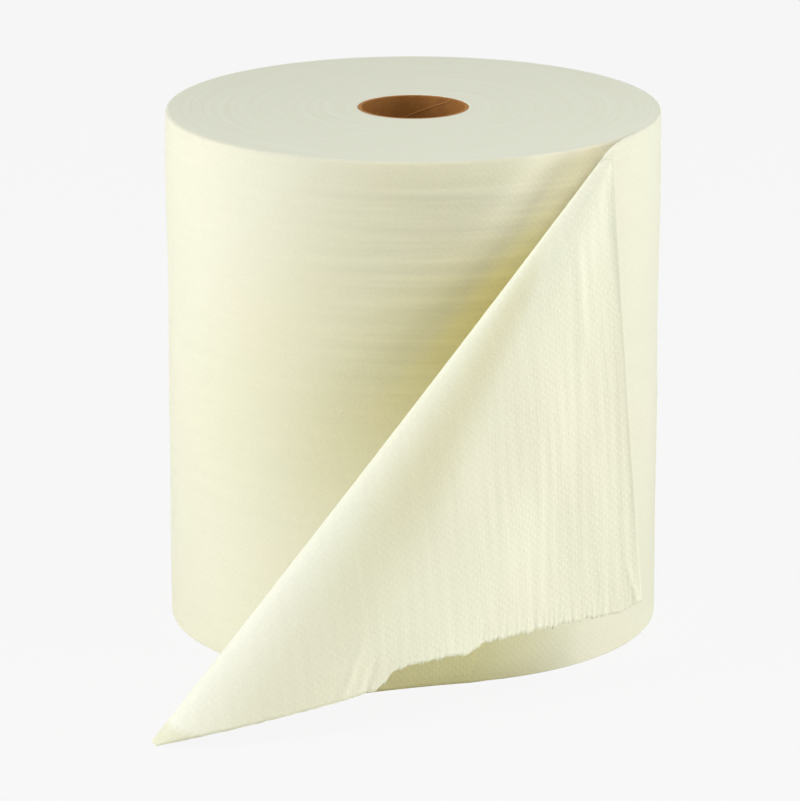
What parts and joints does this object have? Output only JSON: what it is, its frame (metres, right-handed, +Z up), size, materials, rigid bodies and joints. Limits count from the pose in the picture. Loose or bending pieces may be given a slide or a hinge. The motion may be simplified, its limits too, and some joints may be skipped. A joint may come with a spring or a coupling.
{
  "type": "paper towel roll",
  "caption": "Large wound roll of cream embossed paper towel on a cardboard core, standing on its end, with its torn loose end folded over in front.",
  "frame": {"origin": "on the roll's axis, in the plane of the end that it stands on", "axes": "+Z up along the core, -Y to the front where the loose end hangs, +X to the right of it"},
  "size_m": [0.2643, 0.3614, 0.28],
  "materials": {
    "paper": "soft embossed cream tissue",
    "cardboard": "plain brown spiral-wound board"
  },
  "bodies": {
    "root": {"wound_roll": "paper", "loose_web": "paper", "turn_over": "paper", "loose_flap": "paper", "cardboard_core": "cardboard"}
  },
  "joints": []
}
